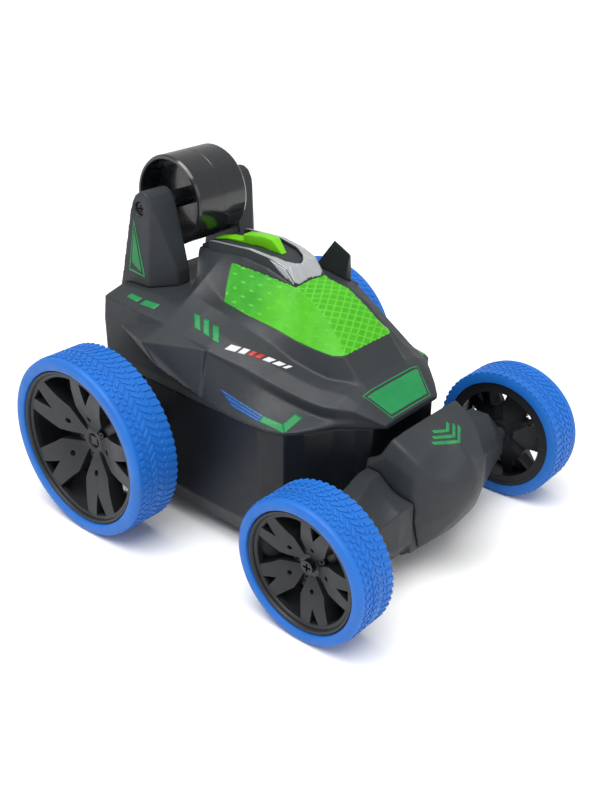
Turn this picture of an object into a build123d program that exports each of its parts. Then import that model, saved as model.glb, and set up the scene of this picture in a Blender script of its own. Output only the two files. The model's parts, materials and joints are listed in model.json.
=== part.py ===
from build123d import *
from math import acos, atan2, cos, degrees, pi, radians, sin, tan
import os

# Radio-controlled stunt car.  Millimetres.  X points forward, Y to the car's left, Z up.
# The origin is on the ground under the middle of the car.

# ---- driving dimensions -------------------------------------------------------------------
rear_axle_x = -46.5
rear_tyre_r = 35.0
rear_tyre_w = 19.1
rear_face_y = 73.85          # outer face of the rear wheels, from the centre plane
rear_rim_r = 30.1
rear_recess = 9.0            # how deep the hub face lies below the wheel's outer face
front_axle_x = 55.5
front_tyre_r = 26.0
front_tyre_w = 16.8
front_face_y = 68.2
front_rim_r = 21.8
front_recess = 7.0
spoke_pairs = 5              # forks in a rim, each with a lower bar beside it

seam_z = 54.0                # upper shell meets lower tub
floor_z = 6.0                # underside of the tub
chamfer_z = 14.5             # the tub's sides turn in below this
shell_wall = 1.6
tub_wall = 2.0
running = 0.06               # radial clearance of a shaft in its bearing

roller_x = -56.4             # tail roller between the two towers
roller_z = 112.2
roller_r = 17.05
roller_half_w = 12.45
roller_axle_r = 1.5
tower_inner_y = 14.5

module = 0.5                 # gears
pinion_teeth = 12
wheel_teeth = 36
gear_width = 3.0
backlash = 0.12
mesh_distance = module * (pinion_teeth + wheel_teeth) / 2 + 0.05
stage_one_y = 5.0            # inner face of the motor stage, from the centre plane
stage_two_y = 9.5            # inner face of the axle stage
axle_r = 2.5
axle_square = 3.5            # square end that drives the wheel
axle_round_y = 58.0          # the axle is round up to here
bush_r = 4.0
spindle_r = 1.0
stage_two_angle = -20.0      # from the rear axle to the reduction gear
stage_one_angle = -15.0      # from the reduction gear to the motor

gearbox_inner_y = 2.2
gearbox_outer_y = 16.2
gearbox_wall = 1.6
motor_r = 10.0
motor_flat = 15.0
motor_length = 22.0

stub_r = 3.0                 # plastic stub that a front wheel turns on
washer_r = 4.0
hub_face_depth = front_recess + 0.35
cell_r = 7.25                # three AA cells
cell_length = 50.5
cell_x = (-4.0, 10.5, 25.0)
bay_roof_z = 24.0
board_z = 29.0
board_posts = [(-6.0, -15.0), (-6.0, 15.0), (28.0, -15.0), (28.0, 15.0)]

rear_axle_z = rear_tyre_r
front_axle_z = front_tyre_r
reduction_x = rear_axle_x + mesh_distance * cos(radians(stage_two_angle))
reduction_z = rear_axle_z + mesh_distance * sin(radians(stage_two_angle))
motor_x = reduction_x + mesh_distance * cos(radians(stage_one_angle))
motor_z = reduction_z + mesh_distance * sin(radians(stage_one_angle))

# ---- small helpers ------------------------------------------------------------------------


def outline(points):
    return Polygon(*points, align=None)


def side_prism(points, y_from, y_to):
    """A plate with an outline in X and Z, from one Y to another."""
    plate = Plane.XZ.offset(-y_to) * outline(points)
    return extrude(plate, amount=y_to - y_from, dir=(0, -1, 0))


def plan_prism(points, z_from, z_to):
    return Pos(0, 0, z_from) * extrude(outline(points), amount=z_to - z_from, dir=(0, 0, 1))


def block(x0, x1, y0, y1, z0, z1):
    box = Box(x1 - x0, y1 - y0, z1 - z0)
    return Pos((x0 + x1) / 2, (y0 + y1) / 2, (z0 + z1) / 2) * box


def rod_y(radius, y0, y1, x, z):
    rod = Rot(90, 0, 0) * Cylinder(radius, abs(y1 - y0))
    return Pos(x, (y0 + y1) / 2, z) * rod


def rod_z(radius, z0, z1, x, y):
    return Pos(x, y, (z0 + z1) / 2) * Cylinder(radius, z1 - z0)


def mirrored(points):
    """Adds the other half of an outline that is symmetric about Y = 0."""
    return points + [(x, -y) for x, y in reversed(points) if abs(y) > 1e-6]


def to_left(shape):
    return shape.mirror(Plane.XZ)


def cross_section(x, half):
    """Closed ring at one X through the (y, z) points of the right half and their mirror."""
    right = [Vector(x, -y, z) for y, z in half]
    left = [Vector(x, y, z) for y, z in reversed(half) if y > 1e-6]
    return Wire.make_polygon(right + left, close=True)


def skin(stations):
    """Solid through cross-sections, straight between one and the next."""
    rings = [cross_section(x, half) for x, half in stations]
    return Solid.make_loft(rings, ruled=True)


def screw(head_r, head_h, shank_r, length):
    """Cross-head screw along -Z, the top of its head at the origin; length includes the head."""
    body = Pos(0, 0, -head_h / 2) * Cylinder(head_r, head_h)
    body += Pos(0, 0, -length / 2) * Cylinder(shank_r, length)
    slot = Box(head_r * 1.3, head_r * 0.3, head_h)
    body -= slot
    body -= Rot(0, 0, 90) * slot
    return body


# ---- body shell ---------------------------------------------------------------------------
# Every ring of the shell is given by (y, z) points of one half: roof centre, roof edge,
# window top, window sill, crease, flank, side edge, foot of the side edge, skirt lip, seam.
greenhouse = [
    (-44.0, [(0, 96.6), (9.4, 96.2), (10, 94.8), (11, 89), (12, 84), (31, 83.5),
             (41.5, 80), (42, 72), (42, 58), (41.5, seam_z)]),
    (-30.0, [(0, 98.4), (9.6, 97.4), (12.5, 95.5), (21, 90.4), (28, 86.3), (34.5, 82.5),
             (41, 78.6), (42, 72), (42.5, 58), (42, seam_z)]),
    (-20.0, [(0, 98.9), (10.2, 97.8), (12.3, 95), (21, 83.7), (27.3, 84.2), (35, 81),
             (42, 77.2), (42.2, 74), (43.3, 57.5), (42.5, seam_z)]),
    (-9.0, [(0, 97.4), (10, 96.2), (11.2, 93.6), (20.6, 81.9), (25.8, 80.6), (34.5, 78.6),
            (42.6, 75.5), (42, 74.6), (44.2, 56.8), (43.2, seam_z)]),
    (4.7, [(0, 91.4), (7.8, 90.9), (8.5, 90.4), (19.9, 79.7), (23.6, 75.8), (31.6, 74.6),
           (38, 71.4), (37.4, 68.2), (44.9, 55.4), (43.6, seam_z)]),
    (13.0, [(0, 88.8), (9, 88.4), (9.8, 88.1), (18.6, 77.2), (21.6, 71), (29, 70.9),
            (35.4, 68.2), (34.6, 64.2), (44.9, 55.2), (43.6, seam_z)]),
    (20.8, [(0, 83.6), (9.8, 83.2), (10.6, 82.9), (17.2, 75.6), (19.9, 68.4), (26.8, 68),
            (33, 65.5), (32.2, 61), (44.2, 55.2), (43, seam_z)]),
    (26.5, [(0, 78.6), (10.8, 78.2), (11.6, 77.8), (15.8, 74.7), (18.4, 66.9), (25, 66.2),
            (31, 63.6), (30.2, 59), (42.2, 55.3), (41, seam_z)]),
    (29.4, [(0, 75.4), (12, 75), (12.8, 74.8), (13.6, 74.5), (17.2, 66.6), (24, 65.6),
            (30, 62.9), (29.2, 58.2), (39.8, 55.5), (38.6, seam_z)]),
    (33.0, [(0, 71.2), (12, 70.9), (12.7, 70.7), (13.3, 70.4), (15.2, 66.5), (22, 65),
            (28.8, 62.3), (28, 57.6), (34.5, 55.8), (33.2, seam_z)]),
    (36.8, [(0, 66.8), (11.8, 66.6), (12.3, 66.5), (12.7, 66.3), (14.4, 65.8), (20.5, 64.6),
            (26.7, 61.9), (25.8, 57.4), (27, 56), (25.8, seam_z)]),
    (41.5, [(0, 63.6), (11.8, 63.5), (12.5, 63.4), (13.5, 63.3), (15, 63), (19, 62.2),
            (22.5, 60.9), (21.8, 57.6), (21.8, 56), (21.4, seam_z)]),
    (46.2, [(0, 59.6), (10.5, 59.5), (11.5, 59.5), (12.5, 59.4), (13.7, 59.3), (16.6, 59),
            (19, 58.2), (18.4, 56.6), (18.3, 55.6), (18, seam_z)]),
    (50.0, [(0, 56.4), (9.6, 56.3), (10.6, 56.3), (11.6, 56.2), (13, 56.1), (14.5, 55.9),
            (15.6, 55.5), (15.4, 55.1), (15.3, 54.8), (15, seam_z)]),
]
# Rear deck: deck centre, deck shoulder, side edge, side, side foot, seam.
deck = [
    (-66.5, [(0, 80.5), (28, 80.3), (36, 78.5), (36.6, 72), (36.6, 58), (36, seam_z)]),
    (-63.5, [(0, 83.3), (32, 83), (40.3, 80.8), (41.5, 72), (41.5, 58), (41, seam_z)]),
    (-44.0, [(0, 84), (31, 83.5), (41.5, 80), (42, 72), (42, 58), (41.5, seam_z)]),
]
# Glass line of the canopy, seen from the side and from above.
window_outline = [
    (-24, 95.3), (-9, 93.9), (3.2, 91.3), (3.2, 110), (48, 110), (29.6, 74.6), (26.5, 74.6),
    (20.8, 75.5), (13, 77.1), (4.7, 79.6), (-9, 81.8), (-20, 83.8),
]
window_plan = [
    (-25, -21.3), (-9, -21.2), (5, -20.3), (13, -19), (21, -17.6), (26.5, -16.2), (29.6, -14.2), (34, -13.6),
    (34, 0),
]
mount_screws = [(-58.0, 30.5), (27.0, 30.5)]


def hollow_of(stations, x_shift_first, x_shift_last, wall):
    """The same rings moved inwards by the wall, and open through the seam."""
    rings = []
    last = len(stations) - 1
    for index, (x, half) in enumerate(stations):
        inside = [(max(y - wall, 0.0), z - wall) for y, z in half[:-1]]
        inside.append((max(half[-2][0] - wall, 0.0), seam_z - 4))
        if index == 0:
            x += x_shift_first
        if index == last:
            x += x_shift_last
        rings.append((x, inside))
    return skin(rings)


def outer_skin():
    return skin(deck) + skin(greenhouse)


def inner_space():
    return hollow_of(deck, shell_wall, 3.0, shell_wall) + hollow_of(greenhouse, shell_wall, -5.0, shell_wall)


def flare():
    """Wedge over a rear wheel, right side."""
    top = [(-53, -42.3, 72), (-30, -41, 78.5), (-8, -43.3, 75.8)]
    ridge = (-33, -50, 74)
    low = [(-10, -44.6, 57.5), (-25, -50, 66)]
    back = [(x, -39, z) for x, _, z in (top[0], top[1], top[2], low[0], low[1])]
    rear, mid, front = top
    low_front, low_rear = low
    faces = [
        (rear, mid, ridge), (mid, front, ridge), (ridge, front, low_front), (ridge, low_front, low_rear),
        (rear, ridge, low_rear),
        (rear, back[0], back[1]), (rear, back[1], mid), (mid, back[1], back[2]), (mid, back[2], front),
        (front, back[2], back[3]), (front, back[3], low_front), (low_front, back[3], back[4]),
        (low_front, back[4], low_rear), (low_rear, back[4], back[0]), (low_rear, back[0], rear),
        tuple(back),
    ]
    made = [Face(Wire.make_polygon([Vector(*corner) for corner in face], close=True)) for face in faces]
    return Solid(Shell(made))


def window_cutter():
    return side_prism(window_outline, -60, 60) & plan_prism(mirrored(window_plan), 60, 120)


def upper_shell(outside, inside):
    shell = outside - inside
    wedge = flare()
    shell += wedge
    shell += to_left(wedge)
    for x, y in mount_screws:
        top = 82.0 if x < 0 else 56.0
        for side in (-1, 1):
            shell += rod_z(3.0, 50.2, top, x, side * y)
            shell -= rod_z(1.1, 50.0, 58.0, x, side * y)
    shell -= window_cutter()
    return shell


def canopy(outside, inside):
    """Clear cover over the cockpit: both side windows and the windscreen in one piece."""
    return (outside & window_cutter()) - inside


def roof_outline():
    return mirrored([(-38, -10.2), (-18, -9.7), (-6, -8.7), (2.2, -7.9), (3.9, -4), (4.2, 0)])


def inset_outline():
    return mirrored([(-39, -8.9), (-22, -8.1), (-10, -6.4), (-4.5, -4.4), (-1.6, 0)])


def roof_trim(outside):
    profile = [
        (-39, 90), (-39, 99.6), (-36, 100.3), (-18, 100.9), (-8, 99.5), (-1.6, 97.2), (4.3, 90.2), (4.3, 86),
    ]
    frame = plan_prism(roof_outline(), 86, 104) & side_prism(profile, -20, 20)
    return frame - plan_prism(inset_outline(), 80, 110) - outside


def roof_panel(outside):
    profile = [(-43, 90), (-43, 97.6), (-36, 99.1), (-18, 99.9), (-8, 98.6), (-1.6, 96.6), (0, 96), (0, 86)]
    tail = [(-43, -8.9), (-38.9, -8.9), (-38.9, 8.9), (-43, 8.9)]
    inset = plan_prism(inset_outline(), 86, 104) + plan_prism(tail, 86, 104)
    return (inset & side_prism(profile, -20, 20)) - outside


def roof_blade(outside, panel):
    half_width = 2.4
    fin_outline = [(-28.5, 90), (-27.5, 103), (-18.5, 104.2), (-13.5, 103.8), (-6.8, 96), (-6.8, 90)]
    strip_outline = [(-42.5, 90), (-42.5, 98.4), (-36, 100), (-27, 100.7), (-27, 90)]
    blade = side_prism(fin_outline, -half_width, half_width)
    blade += side_prism(strip_outline, -half_width, half_width)
    crown = mirrored([(-45, -half_width), (-28, -half_width), (-14, -2.0), (-6, -0.8), (-6, 0)])
    return (blade & plan_prism(crown, 80, 110)) - outside - panel


def roller_tower(outside):
    """Right tower that carries one end of the tail roller."""
    base = [(-69, -29.3), (-51.5, -29.3), (-44, -20.5), (-44, -tower_inner_y), (-69, -tower_inner_y)]
    top = [(-65, -26.2), (-50, -26.2), (-45, -20.5), (-45, -tower_inner_y), (-65, -tower_inner_y)]
    rings = []
    for points, z in ((base, 80), (top, 123)):
        rings.append(Wire.make_polygon([Vector(x, y, z) for x, y in points], close=True))
    tower = Solid.make_loft(rings, ruled=True)
    profile = [
        (-67.9, 80), (-66.5, 85), (-61.6, 110), (-60.4, 114), (-58.6, 117), (-56.2, 118.7), (-54, 118.7),
        (-51.8, 117.2), (-50.4, 114.5), (-49.3, 110.8), (-48, 105.5), (-44.2, 89), (-43, 80),
    ]
    tower = tower & side_prism(profile, -40, 0)
    tower -= outside
    tower -= rod_y(2.6, -32, -24.6, roller_x, roller_z)
    tower -= rod_y(1.2, -25, -20, roller_x, roller_z)
    tower -= rod_y(roller_axle_r, -22, -tower_inner_y + 1, roller_x, roller_z)
    return tower


def side_fin(outside):
    """Upright fin on the left flank; its front edge is bevelled from the inner face to the outer one."""
    inner_face = [(-17.2, 92.6), (-9.3, 88.6), (-14.2, 67), (-36, 67), (-29.9, 76.5)]
    outer_face = [(-19.5, 91.3), (-11.2, 86.7), (-9.7, 67), (-36, 67), (-30.5, 76.5)]
    rings = []
    for points, y in ((inner_face, 38.6), (outer_face, 41.6)):
        rings.append(Wire.make_polygon([Vector(x, y, z) for x, z in points], close=True))
    return Solid.make_loft(rings, ruled=True) - outside - to_left(flare())


# ---- lower tub ----------------------------------------------------------------------------
tub_rings = [
    (-66.0, 36.0, 36.0, 33.0), (-62.5, 41.0, 41.0, 38.0), (-44.0, 41.6, 42.4, 39.2),
    (-9.0, 43.0, 43.8, 40.5), (17.0, 43.2, 43.6, 40.2), (26.0, 40.6, 40.8, 37.4),
    (31.0, 35.6, 35.6, 32.2), (36.0, 26.6, 26.6, 24.0), (41.5, 21.2, 21.2, 19.0), (46.4, 17.8, 17.8, 16.0),
]                            # X, then half widths at the seam, above the chamfer and at the floor
bay_x = (-13.0, 34.0)        # battery bay
bay_y = 26.6
door_thick = 1.8
door_boss_z = 12.0
door_screw_x = -14.8
gearbox_x = (-58.5, -15.5)
gearbox_z = (18.0, 47.0)
pod_screws = [(56.0, -7.0), (56.0, 7.0)]


def tub_skin(inset, x_first, x_last, low, high):
    stations = []
    last = len(tub_rings) - 1
    for index, (x, top_y, mid_y, low_y) in enumerate(tub_rings):
        x = x + x_first if index == 0 else x
        x = x - x_last if index == last else x
        half = [(0, high), (top_y - inset, high), (mid_y - inset, chamfer_z), (low_y - inset, low)]
        stations.append((x, half))
    return skin(stations)


def lower_tub():
    tub = tub_skin(0, 0, 0, floor_z, seam_z)
    tub -= tub_skin(tub_wall, tub_wall, tub_wall, floor_z + tub_wall, seam_z + 4)
    bay = block(bay_x[0], bay_x[1], -bay_y, bay_y, floor_z, bay_roof_z + 1.6)
    tub += bay
    tub -= block(bay_x[0] + 1.6, bay_x[1] - 1.6, -bay_y + 1.2, bay_y - 1.2, floor_z + 2, bay_roof_z)
    tub -= block(bay_x[0] + 3, bay_x[1] - 3, -bay_y + 2.8, bay_y - 2.8, floor_z - 1, floor_z + 3)
    for x, y in mount_screws:
        for side in (-1, 1):
            tub += rod_z(3.4, floor_z, 50.0, x, side * y)
            tub -= rod_z(2.6, floor_z - 1, 40.0, x, side * y)
            tub -= rod_z(1.3, 39.0, 51.0, x, side * y)
    for x, y in board_posts:
        tub += rod_z(2.0, bay_roof_z + 1, board_z, x, y)
        tub -= rod_z(0.9, board_z - 3.0, board_z + 1, x, y)
    # the axle bushes drop in through notches in the side walls, open to the seam
    for side in (-1, 1):
        notch = block(-bush_r, bush_r, side * 41.5 - 3.5, side * 41.5 + 3.5, 0, seam_z + 1 - rear_axle_z)
        tub -= rod_y(bush_r, side * 38, side * 47, rear_axle_x, rear_axle_z)
        tub -= Pos(rear_axle_x, 0, rear_axle_z) * notch
    # a pocket for the power switch, and its slot through the floor
    tub += block(-34, -18, -6.5, 6.5, floor_z, floor_z + 5)
    tub -= block(-32.6, -19.4, -5.1, 5.1, floor_z + 2, floor_z + 9)
    tub -= block(-30.5, -21.5, -2.2, 2.2, floor_z - 1, floor_z + 3)
    # pocket for the battery door's tab, and its screw boss
    tub += block(-18.4, -12, -5, 5, floor_z, door_boss_z)
    tub -= block(-17.75, -9, -4.15, 4.15, floor_z - 1, floor_z + door_thick + 0.15)
    tub -= rod_z(1.0, floor_z, door_boss_z - 0.8, door_screw_x, 0)
    # feet that the gearboxes stand on
    for x in (-54.0, -39.0):
        for side in (-1, 1):
            tub += rod_z(2.5, floor_z + 1, gearbox_z[0], x, side * 10)
    return tub


def battery_door():
    gap = 0.15
    x0, x1 = bay_x[0] + 3 + gap, bay_x[1] - 3 - gap
    edge = bay_y - 2.8 - gap
    door = block(x0, x1, -edge, edge, floor_z, floor_z + door_thick)
    door += block(-17.6, x0 + 1, -4, 4, floor_z, floor_z + door_thick)
    for step in range(7):
        rib_x = x1 - 4 - 2.2 * step
        door -= block(rib_x - 0.5, rib_x + 0.5, -9, 9, floor_z - 1, floor_z + 0.5)
    door -= rod_z(2.2, floor_z - 1, floor_z + 1.2, door_screw_x, 0)
    door -= rod_z(1.2, floor_z, floor_z + 3, door_screw_x, 0)
    return door


def battery_cells():
    cells = []
    for x in cell_x:
        centre = bay_roof_z - 0.6 - cell_r
        can = rod_y(cell_r, -cell_length / 2, cell_length / 2 - 1.4, x, centre)
        can += rod_y(2.6, cell_length / 2 - 1.6, cell_length / 2, x, centre)
        cells.append(can)
    return cells


def battery_contacts():
    plates = []
    centre = bay_roof_z - 0.6 - cell_r
    for x in cell_x:
        for side in (-1, 1):
            inner, outer = side * (cell_length / 2 + 0.02), side * (bay_y - 1.22)
            low, high = min(inner, outer), max(inner, outer)
            plates.append(block(x - 4, x + 4, low, low + min(0.4, high - low), centre - 4, centre + 4))
    return plates


# ---- nose ---------------------------------------------------------------------------------
# Rings of the nose pod: top centre, crease, cheek, flank, lower flank, keel side, keel.
pod_rings = [
    (46.4, [(0, 54.4), (19, 53.8), (21.8, 46.5), (22.2, 40), (21.4, 29), (18.6, 8.4), (0, 6.4)]),
    (55.3, [(0, 54.9), (19.4, 54.3), (21.8, 47.5), (22.2, 40), (21.6, 29), (19, 8), (0, 6.2)]),
    (61.0, [(0, 54.0), (18.9, 51), (21.3, 45), (21.8, 38), (20.9, 27), (17.5, 8.6), (0, 7)]),
    (65.5, [(0, 52.6), (18, 47.5), (19.8, 42.5), (20.1, 36), (18.9, 25), (14.8, 12), (0, 10.3)]),
    (70.0, [(0, 50.2), (15, 42.2), (16.4, 38.5), (16.3, 33), (14.8, 24.5), (10.5, 17), (0, 15.6)]),
    (74.0, [(0, 46.4), (10.3, 41), (11.9, 38.2), (11.8, 33.5), (10.3, 27.5), (7.3, 23), (0, 22)]),
    (77.0, [(0, 41.6), (5.6, 39.4), (6.6, 37.4), (6.4, 34), (5.2, 31), (3.6, 29.2), (0, 28.8)]),
    (78.4, [(0, 38), (1.8, 37.3), (2.3, 36.2), (2.3, 35), (1.8, 33.9), (1.1, 33.3), (0, 33.2)]),
]
plate_z = 11.5               # the pod's underside plate ends here
# Section of an axle arm in X and Z, from the pod outwards.
arm_rings = [
    (19.0, [(47, 41), (52, 41), (58, 36), (65.5, 33), (66, 18), (60, 8.6), (50, 8.6), (46.6, 16),
            (46.6, 34)]),
    (27.0, [(47.4, 41.4), (53, 41.4), (59, 36), (65.5, 32.6), (65.6, 18), (59.6, 9), (50.6, 9), (47, 17),
            (47, 34)]),
    (40.0, [(50, 40.5), (57.5, 40.5), (61.5, 34), (62.5, 28), (62, 19.5), (58.5, 13), (52, 13), (48.5, 20),
            (48.5, 33)]),
    (47.4, [(52.8, 33), (57, 33), (60, 30), (61, 27), (61, 22), (58, 18.5), (53, 18.5), (50, 22), (50, 29)]),
]


def pod_skin(wall):
    rings = []
    for x, half in pod_rings:
        rings.append((x, [(max(y - wall, 0.0), z - wall if z > 30 else z + wall) for y, z in half]))
    if wall:
        rings = [(46.0, rings[0][1])] + rings[1:-2]
    return skin(rings)


def axle_arm():
    """Right arm from inside the pod to the wheel."""
    rings = []
    for y, section in arm_rings:
        rings.append(Wire.make_polygon([Vector(x, -y, z) for x, z in section], close=True))
    return Solid.make_loft(rings, ruled=True)


def front_axle_housing():
    core = block(47.6, 65, -19.2, 19.2, 12, 33)
    core += block(46.4, 49.0, -14, 14, 10, 38)
    for side in (-1, 1):
        arm = axle_arm() if side < 0 else to_left(axle_arm())
        core += arm
        stub_end = front_face_y - front_recess - 0.2
        core += rod_y(stub_r, side * 46.5, side * stub_end, front_axle_x, front_axle_z)
        core -= rod_y(1.0, side * 50, side * 70, front_axle_x, front_axle_z)
    for x, y in pod_screws:
        core -= rod_z(1.1, 0, 24, x, y)
    return core


def nose_shell(housing):
    shell = pod_skin(0) - pod_skin(shell_wall)
    shell -= side_prism([(40, 60), (40, 38), (46.3, 44.4), (51.8, 47.5), (55.3, 54.6), (55.3, 60)], -40, 40)
    shell -= housing
    return shell


def nose_pod(housing):
    return nose_shell(housing) - block(40, 90, -40, 40, 0, plate_z)


def nose_plate(housing):
    plate = nose_shell(housing) & block(40, 90, -40, 40, 0, plate_z)
    for x, y in pod_screws:
        boss = rod_z(3.2, 6.9, 12.0, x, y)
        plate += boss
        plate -= rod_z(2.5, 0, 9.2, x, y)
        plate -= rod_z(1.3, 0, 13, x, y)
    return plate


# ---- drive --------------------------------------------------------------------------------


def gear_outline(teeth, phase_deg):
    """Involute spur gear, one tooth centred on phase_deg."""
    pitch_r = module * teeth / 2
    base_r = pitch_r * cos(radians(20))
    root_r = pitch_r - 1.25 * module
    tip_r = pitch_r + 0.92 * module
    half_tooth = pi / (2 * teeth) - backlash / (2 * pitch_r)
    involute_at_pitch = tan(radians(20)) - radians(20)
    start_r = max(base_r, root_r)
    flank = []
    steps = 4
    for step in range(steps + 1):
        radius = start_r + (tip_r - start_r) * step / steps
        pressure = acos(min(1.0, base_r / radius))
        flank.append((radius, half_tooth + involute_at_pitch - (tan(pressure) - pressure)))
    if root_r < base_r:
        flank.insert(0, (root_r, flank[0][1]))
    points = []
    for tooth in range(teeth):
        centre = radians(phase_deg) + 2 * pi * tooth / teeth
        for radius, angle in flank:
            points.append((radius * cos(centre - angle), radius * sin(centre - angle)))
        for radius, angle in reversed(flank):
            points.append((radius * cos(centre + angle), radius * sin(centre + angle)))
    return points


def gear(teeth, phase_deg, y_inner, width, x, z):
    """Spur gear of the right side, its faces at -y_inner and -(y_inner + width)."""
    points = [(x + u, z + v) for u, v in gear_outline(teeth, phase_deg)]
    return side_prism(points, -(y_inner + width), -y_inner)


def axle_gear():
    wheel = gear(wheel_teeth, stage_two_angle, stage_two_y, gear_width, rear_axle_x, rear_axle_z)
    hub_end = stage_two_y + gear_width
    wheel += rod_y(4.2, -hub_end, -(hub_end + 1.2), rear_axle_x, rear_axle_z)
    wheel -= rod_y(axle_r, 0, -20, rear_axle_x, rear_axle_z)
    return wheel


def reduction_gear():
    gap_phase = 180.0 / pinion_teeth
    big = gear(wheel_teeth, stage_one_angle, stage_one_y, gear_width, reduction_x, reduction_z)
    small = gear(pinion_teeth, stage_two_angle + 180 + gap_phase, stage_two_y - 0.3, gear_width + 0.6,
                 reduction_x, reduction_z)
    neck = rod_y(2.3, -(stage_one_y + gear_width), -stage_two_y, reduction_x, reduction_z)
    return big + neck + small - rod_y(spindle_r + running, 0, -20, reduction_x, reduction_z)


def motor_pinion():
    gap_phase = 180.0 / pinion_teeth
    pinion = gear(pinion_teeth, stage_one_angle + 180 + gap_phase, stage_one_y - 0.2, gear_width + 0.4,
                  motor_x, motor_z)
    return pinion - rod_y(spindle_r, 0, -20, motor_x, motor_z)


def motor_shaft():
    return rod_y(spindle_r, -(stage_one_y - 0.3), -(gearbox_outer_y + motor_length - 2), motor_x, motor_z)


def motor():
    near, far = gearbox_outer_y, gearbox_outer_y + motor_length
    can = rod_y(motor_r, -near, -far, motor_x, motor_z)
    can &= block(-80, 80, -80, 80, motor_z - motor_flat / 2, motor_z + motor_flat / 2)
    can += rod_y(3.0, -(near - 1.4), -near, motor_x, motor_z)
    can += rod_y(4.5, -far, -(far + 1.0), motor_x, motor_z)
    for offset in (-6.5, 6.5):
        tag_x = motor_x + offset
        can += block(tag_x - 0.9, tag_x + 0.9, -(far + 1.6), -far + 0.2, motor_z - 0.2, motor_z + 0.2)
    can -= rod_y(spindle_r + running, 0, -(far - 1.5), motor_x, motor_z)
    return can


def spindle():
    return rod_y(spindle_r, -(gearbox_inner_y + 0.4), -(gearbox_outer_y - 1.0), reduction_x, reduction_z)


def gearbox_bosses(radius, y0, y1):
    x0, x1 = gearbox_x
    z0, z1 = gearbox_z
    spots = [(x, z) for x in (x0 + 2.4, x1 - 2.4) for z in (z0 + 2.4, z1 - 2.4)]
    return [rod_y(radius, y0, y1, x, z) for x, z in spots]


def gearbox_housing():
    x0, x1 = gearbox_x
    z0, z1 = gearbox_z
    near = gearbox_inner_y + gearbox_wall
    tray = block(x0, x1, -gearbox_outer_y, -near, z0, z1)
    tray -= block(x0 + gearbox_wall, x1 - gearbox_wall, -gearbox_outer_y + 2, -near + 1,
                  z0 + gearbox_wall, z1 - gearbox_wall)
    for boss in gearbox_bosses(2.2, -gearbox_outer_y, -near):
        tray += boss
    for hole in gearbox_bosses(0.8, -12, -near + 1):
        tray -= hole
    tray -= rod_y(bush_r, -20, 0, rear_axle_x, rear_axle_z)
    tray -= rod_y(3.0, -20, 0, motor_x, motor_z)
    tray -= rod_y(spindle_r, -(gearbox_outer_y - 1.0), 0, reduction_x, reduction_z)
    return tray


def gearbox_cover():
    near, far = gearbox_inner_y, gearbox_inner_y + gearbox_wall
    plate = block(gearbox_x[0], gearbox_x[1], -far, -near, gearbox_z[0], gearbox_z[1])
    for hole in gearbox_bosses(1.0, -far - 1, 0):
        plate -= hole
    plate -= rod_y(spindle_r, -(near + 0.4), -far - 1, reduction_x, reduction_z)
    return plate


def gearbox_screws():
    made = []
    for spot in gearbox_bosses(1.7, -gearbox_inner_y, -gearbox_inner_y + 1.0):
        centre = spot.center()
        shank = rod_y(0.8, -10.5, -gearbox_inner_y, centre.X, centre.Z)
        made.append(spot + shank)
    return made


def bush(y_inner, y_flange, flange_w, y_end):
    """Plain bearing of a rear axle, right side."""
    body = rod_y(bush_r, -y_inner, -y_end, rear_axle_x, rear_axle_z)
    body += rod_y(5.4, -y_flange, -(y_flange + flange_w), rear_axle_x, rear_axle_z)
    return body - rod_y(axle_r + running, 0, -80, rear_axle_x, rear_axle_z)


def rear_axle():
    shaft = rod_y(axle_r, -(stage_one_y + gear_width + 0.7), -axle_round_y, rear_axle_x, rear_axle_z)
    half = axle_square / 2
    end = rear_face_y - rear_recess - 0.4
    drive_end = block(-half, half, -end, -axle_round_y + 0.1, -half, half)
    return shaft + Pos(rear_axle_x, 0, rear_axle_z) * drive_end


# ---- wheels -------------------------------------------------------------------------------
# A wheel is made about Z with its outer face at z = 0, then turned to face out on the right.


def on_axle(shape, x, y_face, z):
    return Pos(x, -y_face, z) * Rot(90, 0, 0) * shape


def spun(points):
    """Solid of revolution about Z from (radius, z) points."""
    return revolve(Plane.XZ * outline(points), axis=Axis.Z)


def tyre(radius, width, rim_r):
    soft = 1.4
    profile = [
        (rim_r, -0.8), (rim_r + 0.8, 0), (radius - soft, 0), (radius, -soft),
        (radius, -width + soft), (radius - soft, -width), (rim_r, -width),
    ]
    return spun(profile)


def fork_outline(rim_r):
    """Spoke that widens from the hub and splits into two prongs at the rim, pointing along X."""
    half = [(0.13, 0.035), (0.44, 0.235), (0.955, 0.287), (0.965, 0.126), (0.64, 0.0)]
    points = [(out * rim_r, across * rim_r) for out, across in half]
    return points + [(out, -across) for out, across in reversed(points[:-1])]


def rim(rim_r, width, recess, hub_r):
    barrel = spun([
        (rim_r - 1.5, -1.2), (rim_r, -0.9), (rim_r, -width + 0.5), (rim_r - 1.4, -width + 0.5),
    ])
    dish = spun([
        (hub_r * 0.5, -recess), (rim_r * 0.32, -recess + 0.8), (rim_r * 0.8, -2.8), (rim_r - 1.2, -1.8),
        (rim_r - 1.2, -5.0), (rim_r * 0.8, -6.0), (rim_r * 0.32, -recess - 2.2), (hub_r * 0.5, -recess - 3),
    ])
    fork = extrude(outline(fork_outline(rim_r)), amount=width, dir=(0, 0, -1))
    bar = Pos(rim_r * 0.55, 0, -width / 2) * Box(rim_r * 0.84, rim_r * 0.055, width)
    deep_dish = Pos(0, 0, -2.6) * dish
    wheel = barrel + Pos(0, 0, -(recess + 0.5 * (width - recess))) * Cylinder(hub_r, width - recess - 2)
    wheel += Pos(0, 0, -recess - 0.75) * Cylinder(hub_r, 1.5)
    for index in range(spoke_pairs):
        turn = Rot(0, 0, 360 / spoke_pairs * index)
        wheel += (turn * fork) & dish
        wheel += (Rot(0, 0, 180 / spoke_pairs) * turn * bar) & deep_dish
    return wheel


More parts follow.
